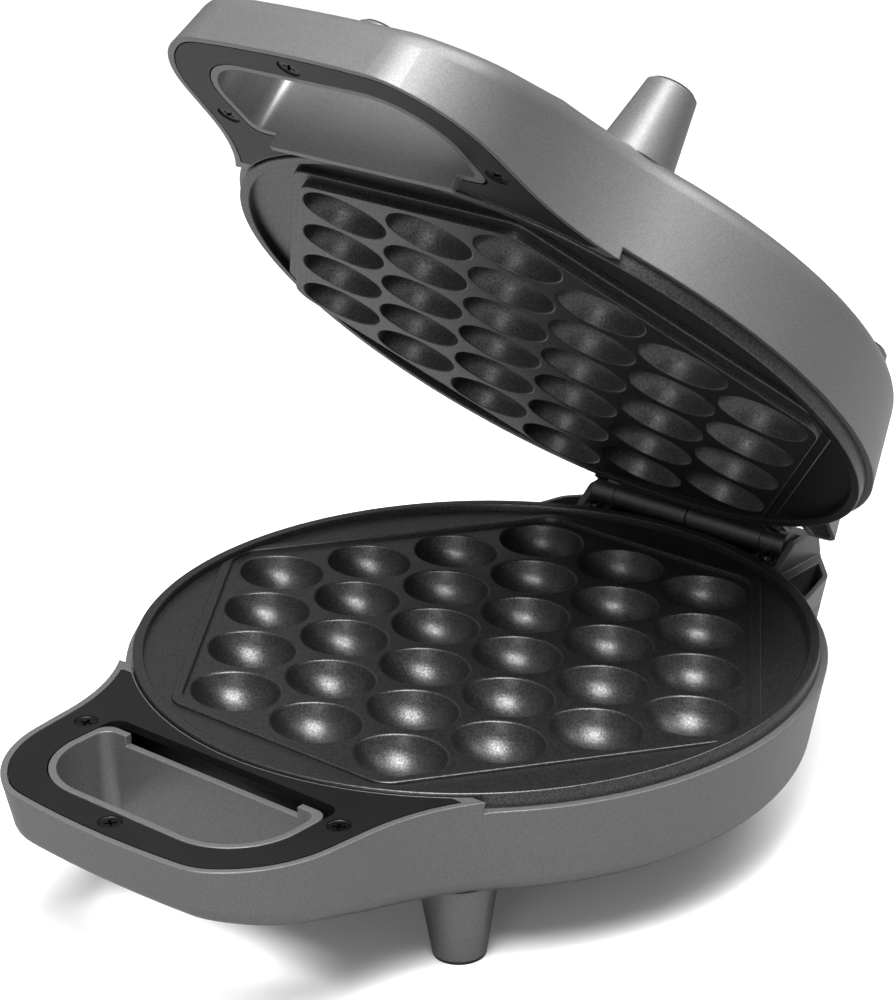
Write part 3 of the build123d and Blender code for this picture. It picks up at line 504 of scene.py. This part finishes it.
def cup_field_tree():
    """Sets cups in a staggered hexagon and fills the flat between their mouths and the outline."""
    made = Tree(
        "cup_field", Pitch_across="Float", Pitch_along="Float", Rows_out="Float", Cup="Object",
        Mouth="Object", Outline="Object", Weld="Float", Coating="Material",
    )
    given = made.given
    half_pitch = made.math("DIVIDE", given["Pitch across"], 2.0)
    width = made.math("MULTIPLY", half_pitch, GRID_COLUMNS - 1.0)
    length = made.math("MULTIPLY", given["Pitch along"], GRID_ROWS - 1.0)
    grid = made.add("GeometryNodeMeshGrid", width, length, GRID_COLUMNS, GRID_ROWS)
    place = made.tree.nodes.new("ShaderNodeSeparateXYZ")
    made.tree.links.new(made.add("GeometryNodeInputPosition"), place.inputs[0])

    def steps_out(distance, pitch):
        return made.math("ABSOLUTE", made.math("ROUND", made.math("DIVIDE", distance, pitch)))

    column = steps_out(place.outputs["X"], half_pitch)
    row = steps_out(place.outputs["Y"], given["Pitch along"])
    ring = made.math("ADD", column, row)
    staggered = made.math("MODULO", ring, 2.0)
    near = made.math("LESS_THAN", ring, made.math("ADD", given["Rows out"], 0.5))
    kept = made.math("MULTIPLY", staggered, near)

    def set_on_grid(thing):
        source = made.tree.nodes.new("GeometryNodeObjectInfo")
        made.tree.links.new(thing, source.inputs["Object"])
        shape = source.outputs["Geometry"]
        spread = made.add("GeometryNodeInstanceOnPoints", Points=grid, Selection=kept, Instance=shape)
        return made.add("GeometryNodeRealizeInstances", spread)

    border = made.tree.nodes.new("GeometryNodeObjectInfo")
    made.tree.links.new(given["Outline"], border.inputs["Object"])
    edges = made.add("GeometryNodeJoinGeometry", [set_on_grid(given["Mouth"]), border.outputs["Geometry"]])
    flat = made.add("GeometryNodeFillCurve", edges)
    whole = made.add("GeometryNodeJoinGeometry", [set_on_grid(given["Cup"]), flat])
    welded = made.add("GeometryNodeMergeByDistance", Geometry=whole, Distance=given["Weld"])
    real = made.add("GeometryNodeRealizeInstances", welded)
    coated = made.add("GeometryNodeSetMaterial", Geometry=real, Material=given["Coating"])
    made.tree.links.new(coated, made.end.inputs[0])
    return made


def helper(name, data):
    """An object that only feeds a node tree."""
    made = bpy.data.objects.new(name, data)
    bpy.context.scene.collection.objects.link(made)
    return made


def closed_curve(name, points):
    """A closed outline through points in millimetres."""
    curve = bpy.data.curves.new(name, "CURVE")
    curve.dimensions = "3D"
    spline = curve.splines.new("POLY")
    spline.points.add(len(points) - 1)
    for point, (x, y) in zip(spline.points, points):
        point.co = (x * MM, y * MM, 0, 1)
    spline.use_cyclic_u = True
    return curve


def one_cup(rings):
    """One open bowl, mouth at the level of zero."""
    cup = bmesh.new()
    rows = [[cup.verts.new([v * MM for v in point]) for point in ring] for ring in rings]
    pole = cup.verts.new((0, 0, CUP_DEPTH * MM))
    for upper, lower in zip(rows, rows[1:]):
        for step in range(len(upper)):
            cup.faces.new((upper[step - 1], upper[step], lower[step], lower[step - 1]))
    for step in range(len(rows[-1])):
        cup.faces.new((rows[-1][step - 1], rows[-1][step], pole))
    mesh = bpy.data.meshes.new("one_cup")
    cup.to_mesh(mesh)
    cup.free()
    return mesh


def cup_plate(half, body, field, land, step_at, step_r, rim, lip_r, coating):
    """A cup plate with rounded lips and edges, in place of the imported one; its back stays as packed."""
    rings = cup_rings(lip_r)
    loops = plate_loops(field, land, step_at, step_r, rim)
    feeds = [
        helper("one_cup", one_cup(rings)),
        helper("one_mouth", closed_curve("one_mouth", [point[:2] for point in rings[0]])),
        helper("field_outline", closed_curve("field_outline", loops[0][0])),
        helper("field_carrier", bpy.data.meshes.new("field_carrier")),
    ]
    cup, mouth, outline, carrier = feeds
    mesh = cup_field_tree().run(
        carrier, Pitch_across=PITCH_X * MM, Pitch_along=PITCH_Y * MM, Rows_out=float(ROWS_OUT), Cup=cup,
        Mouth=mouth, Outline=outline, Weld=FIELD_WELD, Coating=coating,
    )
    for feed in feeds:
        bpy.data.objects.remove(feed)

    plate = bmesh.new()
    plate.from_mesh(mesh)
    bmesh.ops.translate(plate, verts=plate.verts, vec=(0, 0, field * MM))
    lines = [[plate.verts.new((x * MM, y * MM, depth * MM)) for x, y in loop] for loop, depth in loops]
    for inner, outer in zip(lines, lines[1:]):
        for step in range(ROUND_STEPS):
            plate.faces.new((inner[step - 1], inner[step], outer[step], outer[step - 1]))
    plate.from_mesh(plate_back(f"{half}_plate", half))
    bmesh.ops.remove_doubles(plate, verts=plate.verts, dist=SEAM_WELD)
    seam = [edge for edge in plate.edges if edge.is_boundary]
    bmesh.ops.bridge_loops(plate, edges=seam)
    stand_in(plate, mesh, half, body, f"{half}_plate", coating)


def screw_tree():
    """Cross-head screws on seats, heads at zero and shafts along +Z, each turned by a fixed chance."""
    sizes = ["Crown_radius", "Crown_depth", "Head_radius", "Head_depth", "Shaft_radius", "Shaft_length"]
    sizes += ["Cross_length", "Cross_width", "Cross_depth", "Largest_turn", "Weld"]
    numbers = {size: "Float" for size in sizes}
    made = Tree("screw_set", **numbers, Sides="Int", Seed="Int", Seats="Object", Coating="Material")
    given = made.given
    seat = made.math("ADD", given["Crown depth"], given["Head depth"])
    end = made.math("ADD", seat, given["Shaft length"])
    closed = made.turned([
        (given["Crown radius"], 0.0),
        (given["Head radius"], given["Crown depth"]),
        (given["Shaft radius"], seat),
        (given["Shaft radius"], end),
    ])
    cut = made.math("MULTIPLY", given["Cross depth"], 2.0)
    across, along = given["Cross length"], given["Cross width"]
    bars = [
        made.add("GeometryNodeMeshCube", made.add("ShaderNodeCombineXYZ", *sides, cut))
        for sides in ((across, along), (along, across))
    ]
    join = {"_operation": "UNION", "_solver": "EXACT"}
    cross = made.add("GeometryNodeMeshBoolean", Mesh_2=bars, Self_Intersection=True, **join)
    screw = made.add("GeometryNodeMeshBoolean", closed, cross, _operation="DIFFERENCE", _solver="EXACT")
    chance = made.tree.nodes.new("FunctionNodeRandomValue")
    made.tree.links.new(given["Largest turn"], chance.inputs[3])
    made.tree.links.new(given["Seed"], chance.inputs["Seed"])
    return made.spread(screw, Rotation=made.add("ShaderNodeCombineXYZ", 0.0, 0.0, chance.outputs[1]))


def pad_tree():
    """Rubber pads on seats: a plug, a wider root and a flange with a rounded edge at the far end."""
    sizes = ["Plug_radius", "Plug_length", "Root_radius", "Root_length"]
    sizes += ["Flange_radius", "Flange_depth", "Edge_radius", "Weld"]
    numbers = {size: "Float" for size in sizes}
    made = Tree("pad_set", **numbers, Sides="Int", Seats="Object", Coating="Material")
    given = made.given
    top = made.math("ADD", given["Plug length"], given["Root length"])
    end = made.math("ADD", top, given["Flange depth"])
    soft = made.math("MULTIPLY", given["Edge radius"], BACK_SHARE)
    return made.spread(made.turned([
        (given["Plug radius"], 0.0),
        (given["Plug radius"], given["Plug length"]),
        (given["Root radius"], given["Plug length"]),
        (given["Root radius"], top),
        (given["Flange radius"], top),
        (given["Flange radius"], made.math("SUBTRACT", end, given["Edge radius"])),
        (made.math("SUBTRACT", given["Flange radius"], soft), made.math("SUBTRACT", end, soft)),
        (made.math("SUBTRACT", given["Flange radius"], given["Edge radius"]), end),
    ]))


def repeated(tree, seats, level, half, body, node, slot, coating, **sizes):
    """The tree's pieces on these seats, starting at this depth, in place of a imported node."""
    spots = bpy.data.meshes.new(f"{node}_seats")
    spots.from_pydata([(x * MM, y * MM, 0) for x, y in seats], [], [])
    spread_on = helper(f"{node}_seats", spots)
    carrier = helper(f"{node}_carrier", bpy.data.meshes.new(f"{node}_carrier"))
    mesh = tree.run(carrier, Weld=SEAM_WELD, Sides=40, Seats=spread_on, Coating=coating, **sizes)
    for feed in (spread_on, carrier):
        bpy.data.objects.remove(feed)
    shape = bmesh.new()
    shape.from_mesh(mesh)
    bmesh.ops.translate(shape, verts=shape.verts, vec=(0, 0, level * MM))
    stand_in(shape, mesh, half, body, node, coating)


def rear_path(corners, spacing=1.0):
    """Points about this many millimetres apart along a rear wall, each with its inward normal."""
    corners = [Vector(corner) for corner in corners]
    points = [corners[0]]
    for before, corner, after in zip(corners, corners[1:], corners[2:]):
        back = (before - corner).normalized()
        ahead = (after - corner).normalized()
        half_angle = back.angle(ahead) / 2
        centre = corner + (back + ahead).normalized() * REAR_CORNER_R / math.sin(half_angle)
        start = corner + back * REAR_CORNER_R / math.tan(half_angle) - centre
        end = corner + ahead * REAR_CORNER_R / math.tan(half_angle) - centre
        turn = start.angle(end)
        for step in range(CORNER_STEPS + 1):
            share = step / CORNER_STEPS
            arm = start * math.sin((1 - share) * turn) + end * math.sin(share * turn)
            points.append(centre + arm / math.sin(turn))
    points.append(corners[-1])
    path = []
    for start, end in zip(points, points[1:]):
        along = (end - start).normalized()
        inward = Vector((-abs(along.y), abs(along.x)))
        count = max(1, round((end - start).length / spacing))
        path += [(start.lerp(end, share / count), inward) for share in range(count + 1)]
    return path


def wall_backing(name, half, body, strips, paint):
    """Strips just under the skin of a drafted wall, on both sides: path, and (top, bottom, thickness)."""
    shape = bmesh.new()
    for path, (top, bottom, thick) in strips:
        for side in (-1, 1):
            rows = []
            for place, inward in path:
                row = []
                for level, deep in ((top, 0), (bottom, 0), (bottom, thick), (top, thick)):
                    spot = place + inward * ((level - WALL_START) * WALL_DRAFT + UNDER_SKIN + deep)
                    row.append(shape.verts.new((side * spot.x * MM, spot.y * MM, level * MM)))
                rows.append(row)
            for near, far in zip(rows, rows[1:]):
                for step in range(len(near)):
                    shape.faces.new((near[step - 1], near[step], far[step], far[step - 1]))
            shape.faces.new(rows[0])
            shape.faces.new(rows[-1])
    bmesh.ops.remove_doubles(shape, verts=shape.verts, dist=WELD)
    bmesh.ops.recalc_face_normals(shape, faces=shape.faces)
    shape.transform(half_matrix(half))
    mesh = bpy.data.meshes.new(name)
    shape.to_mesh(mesh)
    shape.free()
    mesh.materials.append(paint)
    piece = bpy.data.objects.new(name, mesh)
    bpy.context.scene.collection.objects.link(piece)
    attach(piece, body)


def stand_in(shape, mesh, half, body, node, coating):
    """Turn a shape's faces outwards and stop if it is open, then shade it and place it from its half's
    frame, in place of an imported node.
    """
    bmesh.ops.recalc_face_normals(shape, faces=shape.faces)
    open_edges = sum(1 for edge in shape.edges if not edge.is_manifold)
    if open_edges:
        raise RuntimeError(f"{node} has {open_edges} open edges")
    for edge in shape.edges:
        edge.smooth = edge.calc_face_angle(0) < SHARP
    for face in shape.faces:
        face.smooth = abs(face.normal.z) < FLAT
        face.material_index = 0
    shape.transform(half_matrix(half))
    shape.to_mesh(mesh)
    shape.free()
    mesh.materials.clear()
    mesh.materials.append(coating)
    mesh.name = f"{node}_finished"
    piece = bpy.data.objects.new(mesh.name, mesh)
    bpy.context.scene.collection.objects.link(piece)
    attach(piece, body)
    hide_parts(node)


def dress(names, material):
    """Give these CAD nodes this material in every slot."""
    for name in names:
        node = frame["nodes"][name]
        node.data.materials.clear()
        node.data.materials.append(material)


def white_floor(scene, stage):
    """A floor that is white to the camera and greyer to the light, and glows once clear of the object."""
    half = 3.0
    fade_start = 0.5
    fade_end = 1.1
    mesh = bpy.data.meshes.new("floor")
    corners = [(-half, -half, 0), (half, -half, 0), (half, half, 0), (-half, half, 0)]
    mesh.from_pydata(corners, [], [(0, 1, 2, 3)])
    floor = bpy.data.objects.new("floor", mesh)
    scene.collection.objects.link(floor)
    ground = Finish("floor_white")
    link = ground.tree.links.new
    seen = ground.node("ShaderNodeLightPath").outputs["Is Camera Ray"]
    shade = ground.blend(seen, grey(stage.floor_bounce), grey(stage.floor_shade))
    ground.surface(Base_Color=shade, Roughness=0.9)
    glow = ground.node("ShaderNodeEmission", Color=(1, 1, 1, 1), Strength=1.0)
    share = ground.node("ShaderNodeMath", _operation="MULTIPLY")
    away = ground.node("ShaderNodeVectorMath", _operation="LENGTH")
    link(ground.place, away.inputs[0])
    fade = ground.level(away.outputs["Value"], stage.floor_glow, 1.0, fade_start, fade_end)
    link(seen, share.inputs[0])
    link(fade, share.inputs[1])
    both_ways = ground.node("ShaderNodeMixShader", Fac=share.outputs[0])
    link(ground.shader.outputs["BSDF"], both_ways.inputs[1])
    link(glow.outputs[0], both_ways.inputs[2])
    link(both_ways.outputs[0], ground.tree.nodes["Material Output"].inputs["Surface"])
    mesh.materials.append(ground.material)


def graded_room(scene):
    """A room that is dark at the floor and paler overhead, with a background white to the camera."""
    if scene.world is None:
        scene.world = bpy.data.worlds.new("studio")
    scene.world.use_nodes = True
    tree = scene.world.node_tree
    tree.nodes.clear()
    room = tree.nodes.new("ShaderNodeBackground")
    room.inputs["Color"].default_value = (1, 1, 1, 1)
    way = tree.nodes.new("ShaderNodeSeparateXYZ")
    tree.links.new(tree.nodes.new("ShaderNodeTexCoord").outputs["Generated"], way.inputs[0])
    height = tree.nodes.new("ShaderNodeMapRange")
    for name, number in (("From Min", 0.0), ("From Max", 0.8), ("To Min", 0.10), ("To Max", 0.45)):
        height.inputs[name].default_value = number
    tree.links.new(way.outputs["Z"], height.inputs["Value"])
    tree.links.new(height.outputs["Result"], room.inputs["Strength"])
    backdrop = tree.nodes.new("ShaderNodeBackground")
    backdrop.inputs["Color"].default_value = (1, 1, 1, 1)
    backdrop.inputs["Strength"].default_value = 1.0
    path = tree.nodes.new("ShaderNodeLightPath")
    mix = tree.nodes.new("ShaderNodeMixShader")
    out = tree.nodes.new("ShaderNodeOutputWorld")
    tree.links.new(path.outputs["Is Camera Ray"], mix.inputs["Fac"])
    tree.links.new(room.outputs[0], mix.inputs[1])
    tree.links.new(backdrop.outputs[0], mix.inputs[2])
    tree.links.new(mix.outputs[0], out.inputs["Surface"])


def soft_lamps(scene):
    """Square lamps: name, place, what they point at, size in metres and power in watts."""
    lamps = (
        ("key_softbox", (0.30, -0.52, 1.30), (0, 0, 0.05), 0.75, 34),
        ("top_softbox", (0.30, 0.60, 1.60), (0, 0, 0.1), 1.5, 30),
        ("front_softbox", (0.55, -1.4, 0.30), (0, 0, 0.15), 0.5, 3.5),
    )
    for name, place, aim, size, power in lamps:
        lamp = bpy.data.lights.new(name, "AREA")
        lamp.size = size
        lamp.energy = power
        thing = bpy.data.objects.new(name, lamp)
        thing.location = place
        look = Vector(aim) - Vector(place)
        thing.rotation_euler = look.to_track_quat("-Z", "Y").to_euler()
        scene.collection.objects.link(thing)


def photo_camera(scene, stage):
    """The camera at the photograph's angle."""
    view = bpy.data.cameras.new("camera")
    view.lens = stage.lens
    view.clip_start = 0.01
    camera = bpy.data.objects.new("camera", view)
    turn = (
        Matrix.Rotation(stage.camera_turn, 4, "Z")
        @ Matrix.Rotation(math.pi / 2 - stage.camera_tilt, 4, "X")
        @ Matrix.Rotation(stage.camera_roll, 4, "Z")
    )
    stand = Vector((0, PLATE_CENTRE.y, 0)) + Vector(stage.camera_place)
    camera.matrix_world = Matrix.Translation(stand) @ turn
    scene.collection.objects.link(camera)
    scene.camera = camera


def settings():
    """The shades that the user sets."""
    return bpy.context.scene.waffle_finish


def both(name):
    """Names of a node in the lower and the upper half."""
    return [f"lower_{name}", f"upper_{name}"]


class WaffleFinish(bpy.types.PropertyGroup):
    """Shades of the surfaces, as linear greys."""

    shell_shade: bpy.props.FloatProperty(
        name="Shell", description="Grey of the painted shells", default=0.152, min=0, max=1,
        subtype="FACTOR",
    )
    plate_shade: bpy.props.FloatProperty(
        name="Plates", description="Grey of the non-stick coating", default=0.070, min=0, max=1,
        subtype="FACTOR",
    )
    trim_shade: bpy.props.FloatProperty(
        name="Trim", description="Grey of the black mouldings", default=0.007, min=0, max=1,
        subtype="FACTOR",
    )


class WaffleStage(bpy.types.PropertyGroup):
    """Floor, lamps and camera."""

    floor_shade: bpy.props.FloatProperty(
        name="Floor", description="White of the floor", default=0.95, min=0, max=1, subtype="FACTOR"
    )
    floor_bounce: bpy.props.FloatProperty(
        name="Floor bounce", description="Share of the light that the floor throws back on the object",
        default=0.33, min=0, max=1, subtype="FACTOR",
    )
    floor_glow: bpy.props.FloatProperty(
        name="Floor glow", description="How far the floor's shadow is washed out", default=0.05,
        min=0, max=1, subtype="FACTOR",
    )
    camera_turn: bpy.props.FloatProperty(
        name="Camera turn", description="Camera's turn about the vertical", default=math.radians(41.566),
        subtype="ANGLE",
    )
    camera_tilt: bpy.props.FloatProperty(
        name="Camera tilt", description="How far the camera looks down", default=math.radians(22.677),
        subtype="ANGLE",
    )
    camera_roll: bpy.props.FloatProperty(
        name="Camera roll", description="Lean of the frame", default=math.radians(-1.326), subtype="ANGLE"
    )
    camera_place: bpy.props.FloatVectorProperty(
        name="Camera place", description="Where the camera stands, from the floor below the plates' centre",
        default=(0.5209, -0.5978, 0.4244), unit="LENGTH",
    )
    lens: bpy.props.FloatProperty(
        name="Lens", description="Focal length in millimetres", default=113.17, min=10, unit="CAMERA"
    )


class WAFFLE_OT_shells(bpy.types.Operator):
    """Paint both shells"""

    bl_idname = "waffle.shells"
    bl_label = "Shells"

    def execute(self, context):
        paint = shell_paint("shell_paint", settings().shell_shade)
        dress(both("shell"), paint)

        def ear(path, end_x):
            return [point for point in path if point[0].y < EAR_START_Y and point[0].x > end_x]

        base_path = rear_path(BASE_REAR)
        inner_x, outer_x = BACK_STRIP_X
        back = [point for point in base_path if inner_x < point[0].x < outer_x]
        base_strips = [(ear(base_path, BASE_EAR_END_X), EAR_STRIP), (back, BACK_STRIP)]
        lid_strips = [(ear(rear_path(LID_REAR), LID_EAR_END_X), EAR_STRIP)]
        wall_backing("base_wall_backing", "lower", "base", base_strips, paint)
        wall_backing("lid_wall_backing", "upper", "lid", lid_strips, paint)
        return {"FINISHED"}


class WAFFLE_OT_plates(bpy.types.Operator):
    """Coat both cup plates"""

    bl_idname = "waffle.plates"
    bl_label = "Cup plates"

    def execute(self, context):
        coating = nonstick("nonstick_coat", settings().plate_shade)
        cup_plate(
            "lower", "base", field=3.5, land=2.3, step_at=0.0, step_r=EDGE_R, rim=1.1, lip_r=0.8,
            coating=coating,
        )
        cup_plate(
            "upper", "lid", field=-1.1, land=1.15, step_at=-0.4, step_r=0.2, rim=1.15, lip_r=0.5,
            coating=coating,
        )
        return {"FINISHED"}


class WAFFLE_OT_trims(bpy.types.Operator):
    """Finish the handle trims and their screws"""

    bl_idname = "waffle.trims"
    bl_label = "Handle trims"

    def execute(self, context):
        dress(both("handle_trim"), moulded_black("trim_plastic", settings().trim_shade, rough=0.42))
        black = metal("black_screw", 0.03, 0.35)
        for half, body in (("lower", "base"), ("upper", "lid")):
            repeated(
                screw_tree(), TRIM_SCREWS, TRIM_SCREW_LEVEL, half, body, f"{half}_trim_screws",
                "dark_screw", black, Crown_radius=2.8 * MM, Crown_depth=0.2 * MM, Head_radius=3.1 * MM,
                Head_depth=1.55 * MM, Shaft_radius=SCREW_R * MM, Shaft_length=9.3 * MM,
                Cross_length=3.4 * MM, Cross_width=0.8 * MM, Cross_depth=1.1 * MM, Largest_turn=math.pi,
                Seed=3,
            )
        return {"FINISHED"}


class WAFFLE_OT_feet(bpy.types.Operator):
    """Finish the rubber pads of the feet"""

    bl_idname = "waffle.feet"
    bl_label = "Foot pads"

    def execute(self, context):
        soft = rubber("foot_rubber", 0.012)
        start = FOOT_END - (PAD_PLUG + PAD_ROOT + PAD_FLANGE)
        for half, body, flange in (("lower", "base", 7.1), ("upper", "lid", 6.3)):
            repeated(
                pad_tree(), FEET, start, half, body, f"{half}_foot_pads", "foot_rubber", soft,
                Plug_radius=4.2 * MM, Plug_length=PAD_PLUG * MM, Root_radius=5.5 * MM,
                Root_length=PAD_ROOT * MM, Flange_radius=flange * MM, Flange_depth=PAD_FLANGE * MM,
                Edge_radius=0.4 * MM,
            )
        return {"FINISHED"}


class WAFFLE_OT_hinge(bpy.types.Operator):
    """Finish the hinge, its screws and its pin"""

    bl_idname = "waffle.hinge"
    bl_label = "Hinge"

    def execute(self, context):
        leaves = [f"{half}_hinge_{side}" for half in ("base", "lid") for side in ("left", "right")]
        dress(leaves, metal("hinge_black", 0.2, 0.45))
        black = metal("black_hinge_screw", 0.03, 0.35)
        for half, body, back, seat in (("lower", "base", 93.4, 2.2), ("upper", "lid", 93.2, 2.8)):
            seats = ((-HINGE_SCREW_X, -back), (HINGE_SCREW_X, -back))
            repeated(
                screw_tree(), seats, seat - HINGE_CROWN_DEPTH, half, body, f"{body}_hinge_screws",
                "dark_screw", black, Crown_radius=2.1 * MM, Crown_depth=HINGE_CROWN_DEPTH * MM,
                Head_radius=2.5 * MM, Head_depth=0.0, Shaft_radius=SCREW_R * MM, Shaft_length=9.0 * MM,
                Cross_length=2.8 * MM, Cross_width=0.7 * MM, Cross_depth=0.8 * MM, Largest_turn=math.pi,
                Seed=5,
            )
        dress(["hinge_pin"], metal("pin_steel", 0.4, 0.3, stretch=(0.05, 1, 1)))
        return {"FINISHED"}


class WAFFLE_OT_inside(bpy.types.Operator):
    """Finish the pieces inside the shells and the cord inlet"""

    bl_idname = "waffle.inside"
    bl_label = "Inside"

    def execute(self, context):
        dress(both("heating_element"), metal("element_tube", 0.35, 0.45, tint=-0.06))
        dress(both("heat_shield"), metal("shield_sheet", 0.5, 0.35, stretch=(1, 0.05, 1)))
        dress(both("plate_screws"), metal("plate_screw", 0.45, 0.35))
        dress(["thermal_fuse"], metal("fuse_case", 0.5, 0.3))
        dress(["cord_bushing", "thermostat"], moulded_black("black_insulation", 0.02, rough=0.55))
        ceramic = Finish("terminal_ceramic")
        colour = ceramic.ramp(ceramic.grain(0.004), (0.70, 0.69, 0.64), (0.80, 0.79, 0.75))
        ceramic.surface(Base_Color=colour, Roughness=0.5)
        dress(["terminal_block"], ceramic.material)
        return {"FINISHED"}


class WAFFLE_OT_stage(bpy.types.Operator):
    """Floor, soft lamps, white background and the camera"""

    bl_idname = "waffle.stage"
    bl_label = "Stage"

    def execute(self, context):
        stage = context.scene.waffle_stage
        white_floor(context.scene, stage)
        graded_room(context.scene)
        soft_lamps(context.scene)
        photo_camera(context.scene, stage)
        context.scene.view_settings.view_transform = "Standard"
        return {"FINISHED"}


class WAFFLE_PT_sidebar(bpy.types.Panel):
    """Lists the steps, the shades and the stage"""

    bl_idname = "WAFFLE_PT_sidebar"
    bl_label = "Bubble waffle maker"
    bl_space_type = "VIEW_3D"
    bl_region_type = "UI"
    bl_category = "Waffle"

    def draw(self, context):
        for operator in OPERATORS:
            self.layout.operator(operator.bl_idname)
        for group in (context.scene.waffle_finish, context.scene.waffle_stage):
            for name in group.__annotations__:
                self.layout.prop(group, name)


OPERATORS = (
    WAFFLE_OT_shells,
    WAFFLE_OT_plates,
    WAFFLE_OT_trims,
    WAFFLE_OT_feet,
    WAFFLE_OT_hinge,
    WAFFLE_OT_inside,
    WAFFLE_OT_stage,
)
CLASSES = (WaffleFinish, WaffleStage, *OPERATORS, WAFFLE_PT_sidebar)


def register():
    for item in CLASSES:
        bpy.utils.register_class(item)
    bpy.types.Scene.waffle_finish = bpy.props.PointerProperty(type=WaffleFinish)
    bpy.types.Scene.waffle_stage = bpy.props.PointerProperty(type=WaffleStage)


def unregister():
    del bpy.types.Scene.waffle_stage
    del bpy.types.Scene.waffle_finish
    for item in reversed(CLASSES):
        bpy.utils.unregister_class(item)


def main():
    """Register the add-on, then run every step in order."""
    register()
    for operator in OPERATORS:
        group, name = operator.bl_idname.split(".")
        getattr(getattr(bpy.ops, group), name)()


if __name__ == "__main__":
    main()
